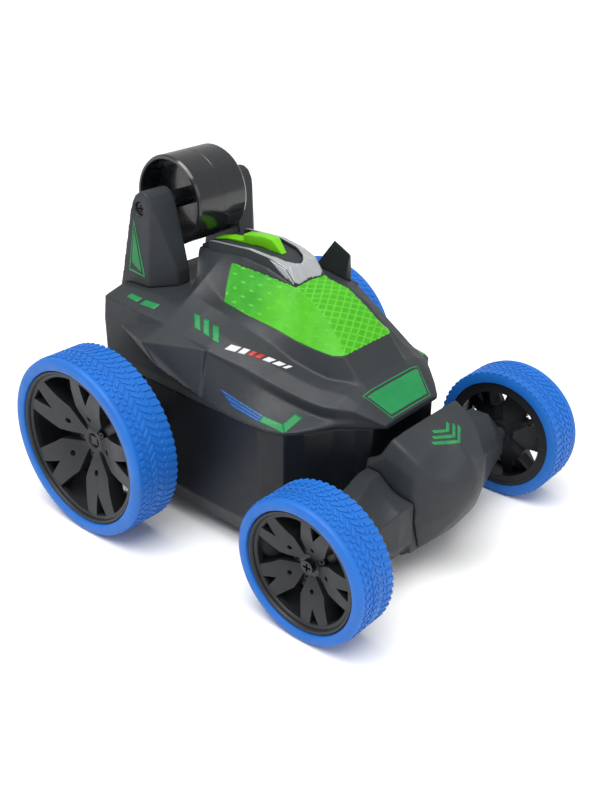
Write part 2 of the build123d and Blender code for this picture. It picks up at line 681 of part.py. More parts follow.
def rear_rim():
    wheel = rim(rear_rim_r, rear_tyre_w, rear_recess, 5.6)
    square_depth = rear_face_y - axle_round_y
    wheel -= Pos(0, 0, -square_depth / 2) * Box(axle_square, axle_square, square_depth)
    wheel -= Pos(0, 0, -(rear_tyre_w + square_depth) / 2) * Cylinder(axle_r, rear_tyre_w - square_depth)
    return wheel


def front_rim():
    wheel = rim(front_rim_r, front_tyre_w, front_recess, 5.0)
    wheel -= Pos(0, 0, -front_tyre_w / 2) * Cylinder(stub_r + running, front_tyre_w + 4)
    wheel -= Pos(0, 0, -hub_face_depth / 2) * Cylinder(washer_r + 0.4, hub_face_depth)
    return wheel


def hub_screws():
    """Screws and washers that keep the front wheels on their stubs."""
    washer = Pos(0, 0, -hub_face_depth + 0.4) * Cylinder(washer_r, 0.5)
    washer -= Pos(0, 0, -hub_face_depth) * Cylinder(1.0, 4)
    body = Pos(0, 0, -hub_face_depth + 2.15) * screw(2.4, 1.5, 1.0, 11)
    right = [on_axle(piece, front_axle_x, front_face_y, front_axle_z) for piece in (washer, body)]
    return right + [to_left(piece) for piece in right]


# ---- tail roller --------------------------------------------------------------------------


def roller_half():
    """Right half of the roller drum: rim with a lip, web and hub."""
    r, w = roller_r, roller_half_w
    profile = [
        (roller_axle_r + running, -1.0), (roller_axle_r + running, -w + 1.0), (3.4, -w + 1.0), (3.4, -3.2),
        (r - 2.0, -3.2), (r - 1.8, -w + 0.8), (r - 1.4, -w), (r - 0.5, -w), (r, -w + 0.9), (r, -0.2),
        (r - 0.2, 0), (r - 1.8, 0), (r - 2.0, -1.6), (3.0, -1.6), (3.0, 0), (2.2, 0), (2.2, -1.0),
    ]
    return Pos(roller_x, 0, roller_z) * Rot(90, 0, 0) * spun([(radius, -depth) for radius, depth in profile])


def roller_axle():
    rod = rod_y(roller_axle_r, -21.5, 21.5, roller_x, roller_z)
    for side in (-1, 1):
        rod -= rod_y(0.9, side * 16, side * 22, roller_x, roller_z)
    return rod


def roller_screws():
    right = Pos(roller_x, -25.9, roller_z) * Rot(90, 0, 0) * screw(2.2, 1.2, 0.9, 8)
    return [right, to_left(right)]


# ---- electrics ----------------------------------------------------------------------------
board_size = (38.0, 34.0, 1.6)
board_x = 11.0


def circuit_board():
    board = Pos(board_x, 0, board_z + board_size[2] / 2) * Box(*board_size)
    for x, y in board_posts:
        board -= rod_z(1.1, board_z - 1, board_z + 3, x, y)
    return board


def board_parts():
    top = board_z + board_size[2]
    chip = block(4, 14, -4, 4, top, top + 1.6)
    driver = block(18, 24, -8, -2, top, top + 1.4)
    crystal = block(4, 9, 8, 10.4, top, top + 3.4)
    capacitors = [rod_z(2.5, top, top + 7, 22, y) for y in (6, 12)]
    lamp = rod_z(1.6, top, top + 5, -2, 0)
    return [chip, driver, crystal, lamp] + capacitors


def switch_body():
    body = block(-32.4, -19.6, -4.9, 4.9, floor_z + 2.05, floor_z + 8)
    body -= block(-30.8, -21.2, -2.3, 2.3, floor_z + 1, floor_z + 5)
    for x in (-29.0, -26.0, -23.0):
        body += block(x - 0.5, x + 0.5, -0.2, 0.2, floor_z + 7.8, floor_z + 11)
    return body


def switch_knob():
    knob = block(-30.1, -25.7, -1.9, 1.9, floor_z + 0.3, floor_z + 4.6)
    for step in range(3):
        x = -29.1 + 1.2 * step
        knob -= block(x - 0.25, x + 0.25, -1.9, 1.9, floor_z, floor_z + 0.7)
    return knob


def chassis_screws():
    made = []
    for x, y in mount_screws:
        for side in (-1, 1):
            made.append(Pos(x, side * y, 38.4) * Rot(180, 0, 0) * screw(2.3, 1.6, 1.1, 18))
    return made


def nose_screws():
    return [Pos(x, y, 7.9) * Rot(180, 0, 0) * screw(2.2, 1.3, 1.1, 14) for x, y in pod_screws]


def door_screw():
    return Pos(door_screw_x, 0, floor_z + 0.1) * Rot(180, 0, 0) * screw(2.0, 1.1, 1.0, 5)


def board_screws():
    top = board_z + board_size[2]
    return [Pos(x, y, top + 1.2) * screw(1.8, 1.2, 0.9, 5.4) for x, y in board_posts]


# ---- write every node ---------------------------------------------------------------------


def save(name, shape):
    if isinstance(shape, list):
        shape = Compound(children=[item if isinstance(item, Solid) else item.solid() for item in shape])
    export_step(shape, "parts/" + name + ".step")


def save_pair(name, shape):
    """Writes a right-hand piece and its mirror image."""
    save(name + "_right", shape)
    if isinstance(shape, list):
        save(name + "_left", [to_left(item) for item in shape])
    else:
        save(name + "_left", to_left(shape))


def build_body():
    outside = outer_skin()
    inside = inner_space()
    save("upper_shell", upper_shell(outside, inside))
    save("canopy", canopy(outside, inside))
    save("roof_trim", roof_trim(outside))
    panel = roof_panel(outside)
    save("roof_panel", panel)
    save("roof_blade", roof_blade(outside, panel))
    save("side_fin", side_fin(outside))
    save_pair("roller_tower", roller_tower(outside))
    save("lower_tub", lower_tub())
    save("battery_door", battery_door())
    save("battery_door_screw", door_screw())
    save("battery_cells", battery_cells())
    save("battery_contacts", battery_contacts())
    save("chassis_screws", chassis_screws())


def build_nose():
    housing = front_axle_housing()
    save("front_axle_housing", housing)
    save("nose_pod", nose_pod(housing))
    save("nose_plate", nose_plate(housing))
    save("nose_screws", nose_screws())
    save("front_hub_screws", hub_screws())


def build_electrics():
    save("circuit_board", circuit_board())
    save("board_parts", board_parts())
    save("board_screws", board_screws())
    save("power_switch_body", switch_body())
    save("power_switch_knob", switch_knob())


def build_drive():
    save_pair("motor", motor())
    save_pair("motor_shaft", motor_shaft())
    save_pair("motor_pinion", motor_pinion())
    save_pair("reduction_gear", reduction_gear())
    save_pair("reduction_spindle", spindle())
    save_pair("gearbox_housing", gearbox_housing())
    save_pair("gearbox_cover", gearbox_cover())
    right_screws = gearbox_screws()
    save("gearbox_screws", right_screws + [to_left(item) for item in right_screws])
    save_pair("axle_gear", axle_gear())
    save_pair("rear_axle", rear_axle())
    bush_end = gearbox_outer_y + 1.2
    save_pair("gearbox_bush", bush(stage_two_y + gear_width + 1.4, gearbox_outer_y, 1.2, bush_end))
    save_pair("axle_bush", bush(39.4, 42.2, 1.4, 45.2))


def build_wheels():
    rear_tyre = tyre(rear_tyre_r, rear_tyre_w, rear_rim_r)
    front_tyre = tyre(front_tyre_r, front_tyre_w, front_rim_r)
    save_pair("rear_rim", on_axle(rear_rim(), rear_axle_x, rear_face_y, rear_axle_z))
    save_pair("rear_tyre", on_axle(rear_tyre, rear_axle_x, rear_face_y, rear_axle_z))
    save_pair("front_rim", on_axle(front_rim(), front_axle_x, front_face_y, front_axle_z))
    save_pair("front_tyre", on_axle(front_tyre, front_axle_x, front_face_y, front_axle_z))


def build_roller():
    save_pair("roller_half", roller_half())
    save("roller_axle", roller_axle())
    save("roller_screws", roller_screws())


os.makedirs("parts", exist_ok=True)
build_body()
build_nose()
build_electrics()
build_drive()
build_wheels()
build_roller()
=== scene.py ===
import json
import math
import bmesh
import bpy
from mathutils import Matrix, Vector
from mathutils.bvhtree import BVHTree

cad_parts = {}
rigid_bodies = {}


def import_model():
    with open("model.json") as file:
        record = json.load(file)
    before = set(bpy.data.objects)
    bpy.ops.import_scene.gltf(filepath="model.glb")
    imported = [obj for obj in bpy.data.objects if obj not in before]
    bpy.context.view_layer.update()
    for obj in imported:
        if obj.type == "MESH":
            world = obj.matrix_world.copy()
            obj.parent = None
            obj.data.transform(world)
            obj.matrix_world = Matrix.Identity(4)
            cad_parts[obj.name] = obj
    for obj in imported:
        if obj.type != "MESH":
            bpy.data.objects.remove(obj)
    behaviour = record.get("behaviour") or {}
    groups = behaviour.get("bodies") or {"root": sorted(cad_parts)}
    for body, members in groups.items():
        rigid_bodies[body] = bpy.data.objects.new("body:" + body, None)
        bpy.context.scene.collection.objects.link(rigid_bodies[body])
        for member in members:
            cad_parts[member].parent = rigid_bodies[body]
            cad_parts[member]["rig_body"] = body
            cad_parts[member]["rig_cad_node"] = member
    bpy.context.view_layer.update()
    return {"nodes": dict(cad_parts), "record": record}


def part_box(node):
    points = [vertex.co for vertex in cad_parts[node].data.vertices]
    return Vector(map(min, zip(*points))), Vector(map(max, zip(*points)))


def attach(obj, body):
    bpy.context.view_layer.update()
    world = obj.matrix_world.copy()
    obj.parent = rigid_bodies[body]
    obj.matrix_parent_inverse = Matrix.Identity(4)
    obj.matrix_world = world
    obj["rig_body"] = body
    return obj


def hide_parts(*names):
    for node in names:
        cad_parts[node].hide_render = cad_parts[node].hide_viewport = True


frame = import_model()

MM = 0.001
ROOT = "chassis"
WELD = 1e-6                     # corners of a CAD mesh closer than this are one corner
HOLE_SIDES = 20                 # points round a small hole or boss
INK_LIFT = 0.00004              # height of a print above the surface that it lies on
INK_THICKNESS = 0.00012
INK_RAY_START = 0.03            # how far in front of the surface a print's rays start
TREAD_BEVEL = 0.00014
RIM_BEVEL = 0.00022
ROLLER_BEVEL = 0.00015
scene = bpy.context.scene


# ---- camera, light and floor -------------------------------------------------------------


VIEW_DEG = (40.75, 27.26, 0.19)          # azimuth, elevation and roll of the photograph's view
CAMERA_AT = (0.2276, -0.2662, 0.2230)
LENS_MM = 46.43
SENSOR_MM = 36


def place_camera():
    azimuth, elevation, roll = (math.radians(a) for a in VIEW_DEG)
    back = Vector((
        math.sin(azimuth) * math.cos(elevation),
        -math.cos(azimuth) * math.cos(elevation),
        math.sin(elevation),
    ))
    level_right = Vector((math.cos(azimuth), math.sin(azimuth), 0))
    level_up = back.cross(level_right)
    right = math.cos(roll) * level_right + math.sin(roll) * level_up
    up = math.cos(roll) * level_up - math.sin(roll) * level_right
    data = bpy.data.cameras.new("camera")
    data.lens = LENS_MM
    data.sensor_width = SENSOR_MM
    data.sensor_fit = "AUTO"
    data.clip_start = 0.01
    camera = bpy.data.objects.new("camera", data)
    scene.collection.objects.link(camera)
    axes = Matrix((right, up, back)).transposed().to_4x4()
    camera.matrix_world = Matrix.Translation(CAMERA_AT) @ axes
    scene.camera = camera


def area_light(name, at, size, power, aim=(0, 0, 0.05)):
    data = bpy.data.lights.new(name, "AREA")
    data.shape = "DISK"
    data.size = size
    data.energy = power
    lamp = bpy.data.objects.new(name, data)
    scene.collection.objects.link(lamp)
    lamp.location = at
    lamp.rotation_euler = (Vector(aim) - Vector(at)).to_track_quat("-Z", "Y").to_euler()


def studio():
    world = bpy.data.worlds.new("studio")
    world.use_nodes = True
    sky = world.node_tree.nodes["Background"]
    sky.inputs["Color"].default_value = (1.0, 1.0, 1.0, 1)
    sky.inputs["Strength"].default_value = 0.55
    scene.world = world
    scene.view_settings.view_transform = "Standard"
    sun = bpy.data.lights.new("broad_key", "SUN")
    sun.energy = 2.6
    sun.angle = math.radians(50)
    lamp = bpy.data.objects.new("broad_key", sun)
    scene.collection.objects.link(lamp)
    lamp.rotation_euler = (math.radians(14), math.radians(10), 0)
    area_light("key_softbox", (-0.10, -0.25, 0.75), 0.5, 1.6)
    area_light("fill_softbox", (0.70, -0.10, 0.45), 0.5, 0.7)


# ---- materials ---------------------------------------------------------------------------


class Look:
    """A procedural material, built up one detail at a time in the object's own coordinates."""

    def __init__(self, name, roughness, metallic=0.0):
        self.material = bpy.data.materials.new(name)
        self.material.use_nodes = True
        self.nodes = self.material.node_tree.nodes
        self.links = self.material.node_tree.links
        self.shader = self.nodes["Principled BSDF"]
        self.shader.inputs["Metallic"].default_value = metallic
        self.shader.inputs["Roughness"].default_value = roughness
        self.where = self.nodes.new("ShaderNodeTexCoord").outputs["Object"]
        self.last_bump = None

    def stretched(self, scale):
        mapping = self.nodes.new("ShaderNodeMapping")
        mapping.inputs["Scale"].default_value = scale
        self.links.new(self.where, mapping.inputs["Vector"])
        return mapping.outputs["Vector"]

    def noise(self, scale, detail=4.0, distort=0.0, where=None):
        node = self.nodes.new("ShaderNodeTexNoise")
        node.inputs["Scale"].default_value = scale
        node.inputs["Detail"].default_value = detail
        node.inputs["Distortion"].default_value = distort
        self.links.new(where or self.where, node.inputs["Vector"])
        return node.outputs["Fac"]

    def cells(self, scale, where=None):
        node = self.nodes.new("ShaderNodeTexVoronoi")
        node.inputs["Scale"].default_value = scale
        self.links.new(where or self.where, node.inputs["Vector"])
        return node.outputs["Distance"]

    def painted(self, name):
        """A value stored on the mesh's own points."""
        node = self.nodes.new("ShaderNodeAttribute")
        node.attribute_name = name
        return node.outputs["Fac"]

    def ramp(self, source, stops):
        node = self.nodes.new("ShaderNodeValToRGB")
        while len(node.color_ramp.elements) < len(stops):
            node.color_ramp.elements.new(0.5)
        for element, (place, colour) in zip(node.color_ramp.elements, stops):
            element.position = place
            element.color = (*colour, 1)
        self.links.new(source, node.inputs["Fac"])
        return node.outputs["Color"]

    def spread(self, source, low, high, to_low, to_high):
        node = self.nodes.new("ShaderNodeMapRange")
        node.inputs["From Min"].default_value = low
        node.inputs["From Max"].default_value = high
        node.inputs["To Min"].default_value = to_low
        node.inputs["To Max"].default_value = to_high
        self.links.new(source, node.inputs["Value"])
        return node.outputs["Result"]

    def mix(self, amount, under, over, mode="MIX"):
        node = self.nodes.new("ShaderNodeMix")
        node.data_type = "RGBA"
        node.blend_type = mode
        for socket, source in ((node.inputs[0], amount), (node.inputs[6], under), (node.inputs[7], over)):
            if isinstance(source, (int, float)):
                socket.default_value = source
            elif isinstance(source, tuple):
                socket.default_value = (*source, 1)
            else:
                self.links.new(source, socket)
        return node.outputs[2]

    def colour(self, source):
        self.links.new(source, self.shader.inputs["Base Color"])

    def rough(self, source):
        self.links.new(source, self.shader.inputs["Roughness"])

    def bump(self, height, strength, distance):
        node = self.nodes.new("ShaderNodeBump")
        node.inputs["Strength"].default_value = strength
        node.inputs["Distance"].default_value = distance
        self.links.new(height, node.inputs["Height"])
        if self.last_bump:
            self.links.new(self.last_bump, node.inputs["Normal"])
        self.last_bump = node.outputs["Normal"]
        self.links.new(self.last_bump, self.shader.inputs["Normal"])


def tinted(colour, factor):
    return tuple(min(1.0, channel * factor) for channel in colour)


def moulded(name, colour, roughness, grain=0.25, mottle=0.14, scuffs=0.05):
    """Moulded plastic: faint flow mottling, spark-eroded grain, and a few duller rubbed patches."""
    look = Look(name, roughness)
    flow = look.noise(55, 5, 0.6)
    tone = look.ramp(flow, [
        (0.25, tinted(colour, 1 - mottle)), (0.55, colour), (0.8, tinted(colour, 1 + mottle)),
    ])
    specks = look.ramp(look.noise(900, 2), [(0.68, (0, 0, 0)), (0.80, (1, 1, 1))])
    look.colour(look.mix(look.spread(specks, 0, 1, 0, 0.10), tone, tinted(colour, 2.2)))
    look.rough(look.spread(look.noise(120, 6, 1.5), 0.3, 0.75, roughness - scuffs, roughness + scuffs))
    look.shader.inputs["Specular IOR Level"].default_value = 0.38
    look.bump(look.noise(2600, 3), grain, 0.00006)
    look.bump(look.noise(35, 2), 0.10, 0.0004)
    return look


def rubber(name, colour, dust_colour):
    """Tyre rubber: faint bloom, fine pale dust and a matt grain."""
    look = Look(name, 0.55)
    bloom = look.noise(70, 5, 1.0)
    tone = look.ramp(bloom, [(0.3, tinted(colour, 0.90)), (0.6, colour), (0.85, tinted(colour, 1.08))])
    dust = look.ramp(look.noise(700, 3), [(0.66, (0, 0, 0)), (0.82, (1, 1, 1))])
    look.colour(look.mix(look.spread(dust, 0, 1, 0, 0.10), tone, dust_colour))
    look.rough(look.spread(look.noise(240, 4), 0.3, 0.7, 0.48, 0.64))
    look.shader.inputs["Sheen Weight"].default_value = 0.04
    look.shader.inputs["Sheen Roughness"].default_value = 0.4
    look.bump(look.noise(1900, 4), 0.30, 0.00008)
    return look


def metal(name, colour, roughness, along):
    """Drawn or turned metal: fine lines along one axis, with a little tarnish."""
    look = Look(name, roughness, 1.0)
    lines = look.noise(1.0, 5, 0.2, look.stretched(along))
    tarnish = look.noise(260, 5, 1.0)
    bright = look.ramp(lines, [(0.3, tinted(colour, 0.82)), (0.7, tinted(colour, 1.12))])
    look.colour(look.mix(look.spread(tarnish, 0.55, 0.8, 0, 0.35), bright, tinted(colour, 0.55)))
    look.rough(look.spread(tarnish, 0.3, 0.8, roughness - 0.06, roughness + 0.14))
    look.bump(lines, 0.12, 0.00005)
    return look


def silver_paint(name, colour):
    """Metallic paint: fine flakes under a thin clear coat."""
    look = Look(name, 0.34, 0.45)
    flakes = look.cells(5200)
    tone = look.ramp(flakes, [(0.1, tinted(colour, 0.86)), (0.6, tinted(colour, 1.12))])
    thin = look.noise(45, 4, 0.8)
    look.colour(look.mix(look.spread(thin, 0.35, 0.75, 0.0, 0.22), tone, tinted(colour, 0.72)))
    look.rough(look.spread(look.noise(300, 4), 0.3, 0.7, 0.26, 0.40))
    look.shader.inputs["Coat Weight"].default_value = 0.35
    look.shader.inputs["Coat Roughness"].default_value = 0.12
    look.bump(flakes, 0.05, 0.00003)
    look.bump(look.noise(380, 2), 0.06, 0.0001)
    return look


def gloss(name, colour, roughness, swirl):
    """Polished moulding with hairline handling marks."""
    look = Look(name, roughness)
    hair = look.noise(1.0, 6, 0.8, look.stretched(swirl))
    tone = look.ramp(look.noise(80, 4), [(0.3, tinted(colour, 0.85)), (0.7, tinted(colour, 1.2))])
    look.colour(tone)
    look.rough(look.spread(hair, 0.45, 0.8, roughness, roughness + 0.16))
    look.shader.inputs["Coat Weight"].default_value = 0.4
    look.shader.inputs["Coat Roughness"].default_value = 0.06
    look.bump(hair, 0.02, 0.00002)
    look.bump(look.noise(60, 2), 0.04, 0.0002)
    return look


def printed(name, colour):
    """Pad-printed ink: slightly uneven cover with tiny pinholes down to the plastic."""
    look = Look(name, 0.42)
    cover = look.ramp(look.noise(160, 5, 0.7), [(0.25, tinted(colour, 0.82)), (0.7, tinted(colour, 1.15))])
    pins = look.ramp(look.noise(2100, 2), [(0.74, (0, 0, 0)), (0.80, (1, 1, 1))])
    look.colour(look.mix(look.spread(pins, 0, 1, 0, 0.45), cover, (0.05, 0.052, 0.055)))
    look.rough(look.spread(look.noise(500, 4), 0.3, 0.7, 0.34, 0.52))
    look.bump(look.noise(2300, 3), 0.18, 0.00005)
    return look


def canopy_look():
    """Tinted plastic: the windscreen's net and the sides' dashes stand as ridges, and the lighter green
    laid on those ridges is a painted highlight.
    """
    look = Look("canopy_green", 0.45)
    split = look.nodes.new("ShaderNodeSeparateXYZ")
    look.links.new(look.where, split.inputs["Vector"])
    along = look.spread(split.outputs["X"], -0.009, -0.002, 0, 1)
    cloud = look.noise(120, 4, 1.2)
    rear = look.ramp(cloud, [(0.3, (0.025, 0.26, 0.012)), (0.75, (0.045, 0.34, 0.022))])
    front = look.ramp(cloud, [(0.3, (0.045, 0.34, 0.0005)), (0.75, (0.065, 0.42, 0.002))])
    screen = look.ramp(cloud, [(0.3, (0.040, 0.29, 0.005)), (0.75, (0.058, 0.36, 0.010))])
    base = look.mix(look.painted("windscreen"), look.mix(along, rear, front), screen)
    # painted highlight: a lighter green mixed in along the ridges, weighted by the ridge value stored on
    # the mesh
    look.colour(look.mix(look.painted("ridge"), base, (0.11, 0.55, 0.03)))
    look.rough(look.spread(look.noise(500, 4), 0.3, 0.7, 0.40, 0.55))
    look.shader.inputs["Subsurface Weight"].default_value = 0.12
    look.shader.inputs["Subsurface Radius"].default_value = (0.3, 1.0, 0.2)
    look.shader.inputs["Subsurface Scale"].default_value = 0.001
    look.shader.inputs["IOR"].default_value = 1.49
    look.shader.inputs["Specular IOR Level"].default_value = 0.30
    look.bump(look.noise(900, 3), 0.06, 0.00006)
    return look


def floor_look():
    look = Look("floor_paper", 0.85)
    look.colour(look.ramp(look.noise(6, 5), [(0.3, (0.90, 0.90, 0.90)), (0.7, (0.93, 0.93, 0.93))]))
    look.bump(look.noise(260, 3), 0.03, 0.0002)
    return look


LOOKS = {
    "shell_plastic": moulded("shell_plastic", (0.022, 0.026, 0.030), 0.52),
    "tub_plastic": moulded("tub_plastic", (0.003, 0.005, 0.008), 0.46, 0.12, 0.18),
    "rim_black": moulded("rim_black", (0.012, 0.013, 0.016), 0.44, 0.15, 0.12),
    "gear_nylon": moulded("gear_nylon", (0.72, 0.71, 0.66), 0.42, 0.15, 0.05),
    "board_black": moulded("board_black", (0.020, 0.020, 0.022), 0.35, 0.2, 0.2),
    "board_green": moulded("board_green", (0.015, 0.16, 0.06), 0.30, 0.1, 0.2),
    "cell_wrap": gloss("cell_wrap", (0.05, 0.055, 0.07), 0.25, (900, 30, 900)),
    "lime_plastic": moulded("lime_plastic", (0.14, 0.52, 0.006), 0.34, 0.10, 0.07, 0.04),
    "silver_paint": silver_paint("silver_paint", (0.42, 0.435, 0.45)),
    "roller_black": gloss("roller_black", (0.009, 0.010, 0.012), 0.20, (260, 20, 260)),
    "tyre_blue": rubber("tyre_blue", (0.0005, 0.125, 0.50), (0.02, 0.20, 0.62)),
    "steel": metal("steel", (0.50, 0.50, 0.52), 0.30, (1600, 60, 1600)),
    "black_steel": metal("black_steel", (0.055, 0.056, 0.060), 0.34, (900, 60, 900)),
    "motor_can": metal("motor_can", (0.58, 0.57, 0.54), 0.28, (900, 30, 900)),
    "canopy_green": canopy_look(),
    "decal_green": printed("decal_green", (0.003, 0.19, 0.050)),
    "decal_blue": printed("decal_blue", (0.002, 0.075, 0.28)),
    "decal_white": printed("decal_white", (0.62, 0.63, 0.64)),
    "decal_red": printed("decal_red", (0.42, 0.025, 0.018)),
}


def paint(piece, slot_name):
    piece.data.materials.clear()
    piece.data.materials.append(LOOKS[slot_name].material)


# ---- making pieces -----------------------------------------------------------------------


def linked(name, bm):
    """A new object in the scene, made from the bmesh, which is freed."""
    mesh = bpy.data.meshes.new(name)
    bm.to_mesh(mesh)
    bm.free()
    piece = bpy.data.objects.new(name, mesh)
    scene.collection.objects.link(piece)
    return piece


def welded(source, gap=WELD):
    """A CAD node's mesh as a bmesh, with its coincident corners joined."""
    bm = bmesh.new()
    bm.from_mesh(source.data)
    bmesh.ops.remove_doubles(bm, verts=bm.verts, dist=gap)
    return bm


def piece_from(bm, name, slot_name, body, sharp_deg=35.0):
    bmesh.ops.recalc_face_normals(bm, faces=bm.faces)
    piece = linked(name, bm)
    smooth(piece.data, sharp_deg)
    paint(piece, slot_name)
    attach(piece, body)
    return piece


def smooth(mesh, sharp_deg):
    mesh.polygons.foreach_set("use_smooth", [True] * len(mesh.polygons))
    mesh.set_sharp_from_angle(angle=math.radians(sharp_deg))


def baked(piece):
    """The piece's mesh with its modifiers applied."""
    graph = bpy.context.evaluated_depsgraph_get()
    mesh = bpy.data.meshes.new_from_object(piece.evaluated_get(graph))
    piece.modifiers.clear()
    piece.data = mesh


def cut_away(piece, bm, self_crossing=False):
    """Cuts the closed shapes in the bmesh out of the piece."""
    cutter = linked("cutter", bm)
    cut = piece.modifiers.new("cut", "BOOLEAN")
    cut.operation = "DIFFERENCE"
    cut.solver = "EXACT"
    cut.use_self = self_crossing
    cut.object = cutter
    baked(piece)
    bpy.data.objects.remove(cutter)


def rounded(piece, width, segments=2, angle_deg=30.0):
    bevel = piece.modifiers.new("edges", "BEVEL")
    bevel.width = width
    bevel.segments = segments
    bevel.limit_method = "ANGLE"
    bevel.angle_limit = math.radians(angle_deg)
    bevel.harden_normals = True


def softened(node, slot_name, voxel, passes=3, keep=0.5):
    """The node's own shape with its edges rounded as a mould leaves them."""
    source = frame["nodes"][node]
    bm = welded(source)
    piece = piece_from(bm, node + "_moulded", slot_name, source["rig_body"])
    remesh = piece.modifiers.new("voxels", "REMESH")
    remesh.mode = "VOXEL"
    remesh.voxel_size = voxel
    remesh.use_smooth_shade = True
    relax = piece.modifiers.new("relax", "SMOOTH")
    relax.factor = 0.5
    relax.iterations = passes
    thin = piece.modifiers.new("thin", "DECIMATE")
    thin.ratio = keep
    baked(piece)
    smooth(piece.data, 50)
    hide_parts(node)
    return piece


def cleared_for(piece, node, joint_name, gap):
    """Opens a softened piece where a sliding node sweeps, down through the piece's floor."""
    low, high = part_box(node)
    joints = frame["record"]["behaviour"]["joints"]
    joint = next(entry for entry in joints if entry["name"] == joint_name)
    far = [corner + step * joint["range_m"][1] + gap for corner, step in zip(high, joint["axis"])]
    near = [low.x - gap, low.y - gap, min(vert.co.z for vert in piece.data.vertices) - gap]
    bm = bmesh.new()
    bmesh.ops.create_cube(bm, size=1.0)
    for vert in bm.verts:
        vert.co = [start if place < 0 else end for place, start, end in zip(vert.co, near, far)]
    cut_away(piece, bm)


def bevelled(node, slot_name, width):
    """The node's own shape with its edges broken by a narrow bevel."""
    source = frame["nodes"][node]
    bm = welded(source)
    bmesh.ops.dissolve_limit(bm, angle_limit=math.radians(1.5), verts=bm.verts, edges=bm.edges)
    piece = piece_from(bm, node + "_moulded", slot_name, source["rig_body"], 30)
    rounded(piece, width, 2, 25)
    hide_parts(node)
    return piece


def surface_of(*pieces):
    verts, faces = [], []
    for piece in pieces:
        start = len(verts)
        verts += [v.co.copy() for v in piece.data.vertices]
        faces += [[start + i for i in polygon.vertices] for polygon in piece.data.polygons]
    return BVHTree.FromPolygons(verts, faces)


def print_on(name, surface, outlines, towards, slot_name, cell=1.0):
    """A thin layer of ink: flat outlines, in millimetres, laid on the surface along one direction."""
    aim = Vector(towards).normalized()
    bm = bmesh.new()
    for outline in outlines:
        bm.faces.new([bm.verts.new(Vector(corner) * MM) for corner in outline])
    bmesh.ops.triangulate(bm, faces=bm.faces)
    for _ in range(6):
        long = [edge for edge in bm.edges if edge.calc_length() > cell * MM]
        if not long:
            break
        bmesh.ops.subdivide_edges(bm, edges=long, cuts=1)
        bmesh.ops.triangulate(bm, faces=bm.faces)
    missed = []
    for vert in bm.verts:
        start = vert.co - aim * INK_RAY_START
        hit, normal, _, _ = surface.ray_cast(start, aim)
        if hit is None:
            missed.append(vert)
        else:
            vert.co = hit + normal * INK_LIFT
    bmesh.ops.delete(bm, geom=missed, context="VERTS")
    bm.normal_update()
    for face in bm.faces:
        if face.normal.dot(aim) > 0:
            face.normal_flip()
    piece = linked(name, bm)
    smooth(piece.data, 40)
    paint(piece, slot_name)
    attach(piece, ROOT)
    ink = piece.modifiers.new("ink", "SOLIDIFY")
    ink.thickness = INK_THICKNESS
    ink.offset = 0.3
    return piece


# ---- wheels ------------------------------------------------------------------------------


class Wheel:
    """Places points of one wheel: angle from the front, radius, and depth below the outer face."""

    def __init__(self, tyre_node, rim_node):
        low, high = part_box(tyre_node)
        rim_low, rim_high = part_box(rim_node)
        self.side = -1 if low.y + high.y < 0 else 1
        self.centre_x = (low.x + high.x) / 2
        self.centre_z = (low.z + high.z) / 2
        self.face_y = max(abs(low.y), abs(high.y))
        self.radius = (high.z - low.z) / 2
        self.width = high.y - low.y
        self.rim_r = (rim_high.z - rim_low.z) / 2

    def at(self, angle, radius, depth):
        return Vector((
            self.centre_x + radius * math.cos(angle), self.side * (self.face_y - depth),
            self.centre_z + radius * math.sin(angle),
        ))


def join_rings(bm, here, there):
    """Faces between two closed rings with the same number of points."""
    for index in range(len(here)):
        after = (index + 1) % len(here)
        bm.faces.new((here[index], here[after], there[after], there[index]))


def round_step(step):
    """Direction of one point on a small circle that faces along the axle."""
    turn = 2 * math.pi * step / HOLE_SIDES
    return Vector((math.cos(turn), 0, math.sin(turn)))


def lathe(bm, wheel, profile, segments=120):
    """A closed ring through (radius, depth) points, in metres."""
    rings = []
    for step in range(segments):
        angle = 2 * math.pi * step / segments
        rings.append([bm.verts.new(wheel.at(angle, radius, depth)) for radius, depth in profile])
    for step in range(segments):
        join_rings(bm, rings[step], rings[(step + 1) % segments])


def hull_box(bm, corners):
    """A six-sided block from four lower and four upper corners."""
    verts = [bm.verts.new(corner) for corner in corners]
    for a, b, c, d in ((0, 1, 2, 3), (7, 6, 5, 4), (0, 4, 5, 1), (1, 5, 6, 2), (2, 6, 7, 3), (3, 7, 4, 0)):
        bm.faces.new((verts[a], verts[b], verts[c], verts[d]))


# Rows of tread blocks across the tyre: start and end over the width, length over the pitch,
# slant over the pitch, and phase over the pitch.
TREAD_ROWS = [
    (0.00, 0.11, 0.60, 0.10, 0.0), (0.145, 0.235, 0.52, -0.15, 0.4), (0.265, 0.42, 0.62, 0.75, 0.1),
    (0.445, 0.60, 0.62, -0.75, 0.85), (0.63, 0.72, 0.52, 0.2, 0.3), (0.755, 1.00, 0.58, -0.18, 0.0),
]


